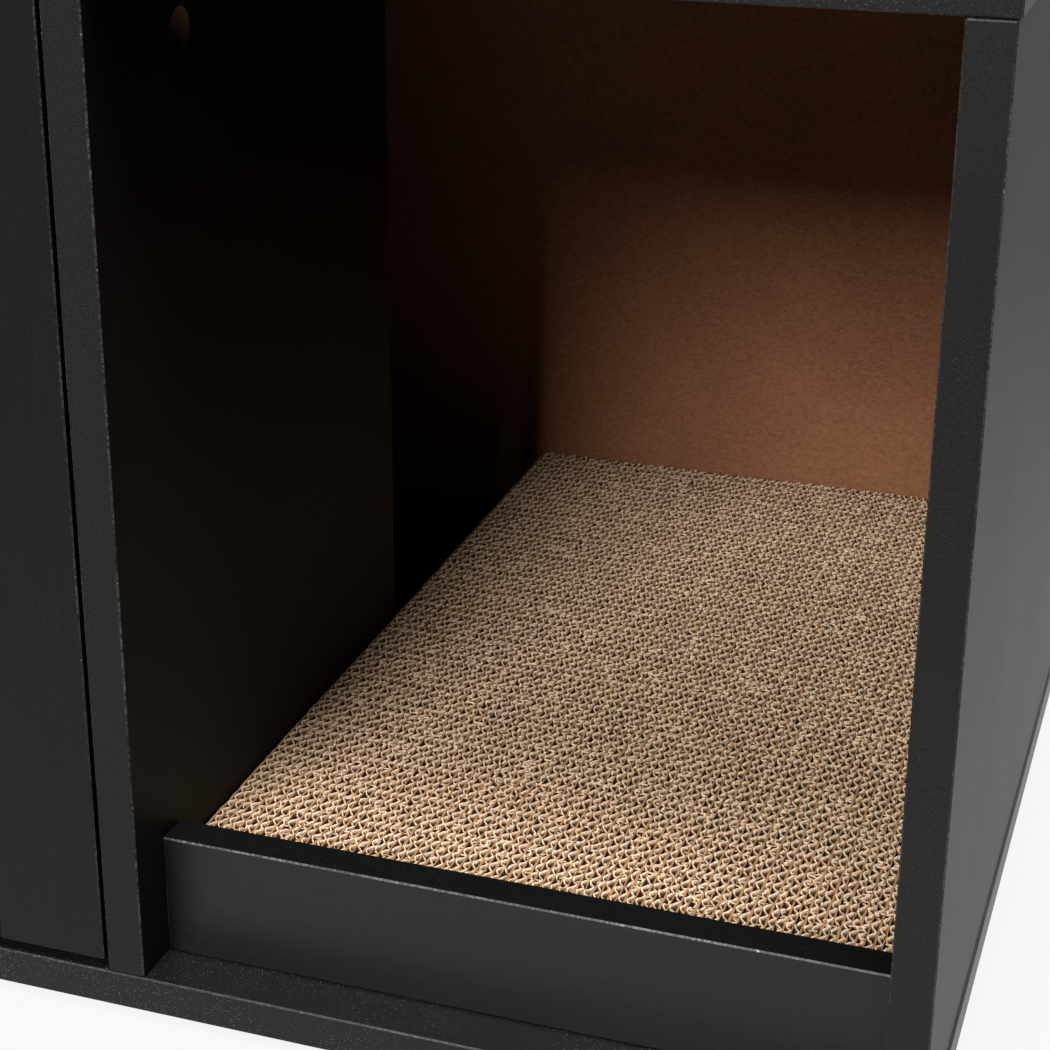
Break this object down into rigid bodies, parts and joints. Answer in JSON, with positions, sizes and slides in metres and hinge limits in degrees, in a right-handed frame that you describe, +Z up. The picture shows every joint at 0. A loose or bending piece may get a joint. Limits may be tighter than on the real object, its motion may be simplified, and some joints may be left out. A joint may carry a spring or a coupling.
{
  "type": "cat litter box cabinet",
  "caption": "Low flat-pack cabinet that hides a cat litter box: an open entry with a cardboard scratching pad beside a bay closed by inset doors.",
  "frame": {"origin": "on the floor, under the middle of the bounding box, which takes in the door knobs at the front and the back sheet", "axes": "+X to the right along the cabinet's width, +Y from the front to the back, +Z up"},
  "size_m": [0.92, 0.5254, 0.414],
  "materials": {
    "black_laminate": "black melamine laminate on fibreboard, satin with a fine orange-peel grain",
    "brown_hardboard": "unfinished smooth hardboard",
    "corrugated_cardboard": "raw corrugated board, cut edges up",
    "beech": "raw beech",
    "zinc": "die-cast zinc, dull",
    "steel": "nickel-plated pressed steel",
    "black_metal": "black powder coat, satin",
    "black_plastic": "moulded, matte",
    "magnet": "dark sintered magnet"
  },
  "bodies": {
    "carcass": {"base_board": "black_laminate", "top_board": "black_laminate", "left_side_panel": "black_laminate", "right_side_panel": "black_laminate", "divider_panel": "black_laminate", "threshold_board": "black_laminate", "back_sheet": "brown_hardboard", "threshold_left_dowel": "beech", "threshold_right_dowel": "beech", "left_front_cam_lock": "zinc", "left_rear_cam_lock": "zinc", "right_front_cam_lock": "zinc", "right_rear_cam_lock": "zinc", "left_front_cam_bolt": "steel", "left_rear_cam_bolt": "steel", "right_front_cam_bolt": "steel", "right_rear_cam_bolt": "steel", "divider_rear_cam_lock": "zinc", "divider_rear_cam_bolt": "steel", "front_left_glide": "black_plastic", "front_middle_glide": "black_plastic", "front_right_glide": "black_plastic", "rear_left_glide": "black_plastic", "rear_middle_glide": "black_plastic", "rear_right_glide": "black_plastic", "left_door_upper_hinge_arm": "steel", "left_door_upper_hinge_plate": "steel", "left_door_lower_hinge_arm": "steel", "left_door_lower_hinge_plate": "steel", "right_door_upper_hinge_arm": "steel", "right_door_upper_hinge_plate": "steel", "right_door_lower_hinge_arm": "steel", "right_door_lower_hinge_plate": "steel", "left_catch_housing": "black_plastic", "right_catch_housing": "black_plastic", "left_catch_magnet": "magnet", "right_catch_magnet": "magnet"},
    "left_door": {"left_door_hinge_stile": "black_laminate", "left_door_meeting_stile": "black_laminate", "left_door_top_rail": "black_laminate", "left_door_bottom_rail": "black_laminate", "left_door_panel": "black_laminate", "left_door_knob": "black_metal", "left_door_strike_plate": "steel", "left_door_upper_hinge_cup": "steel", "left_door_upper_hinge_pin": "steel", "left_door_lower_hinge_cup": "steel", "left_door_lower_hinge_pin": "steel"},
    "right_door": {"right_door_hinge_stile": "black_laminate", "right_door_meeting_stile": "black_laminate", "right_door_top_rail": "black_laminate", "right_door_bottom_rail": "black_laminate", "right_door_panel": "black_laminate", "right_door_knob": "black_metal", "right_door_strike_plate": "steel", "right_door_upper_hinge_cup": "steel", "right_door_upper_hinge_pin": "steel", "right_door_lower_hinge_cup": "steel", "right_door_lower_hinge_pin": "steel"},
    "pad": {"scratch_pad": "corrugated_cardboard"}
  },
  "joints": [
    {"name": "left_door_hinge", "type": "hinge", "parent": "carcass", "child": "left_door", "pos_m": [-0.429, -0.23485, 0.21025], "axis": [0, 0, -1], "range_deg": [0, 100]},
    {"name": "right_door_hinge", "type": "hinge", "parent": "carcass", "child": "right_door", "pos_m": [0.134, -0.23485, 0.21025], "axis": [0, 0, 1], "range_deg": [0, 100]},
    {"name": "pad_lift", "type": "slide", "parent": "carcass", "child": "pad", "axis": [0, 0, 1], "range_m": [0, 0.06]}
  ]
}
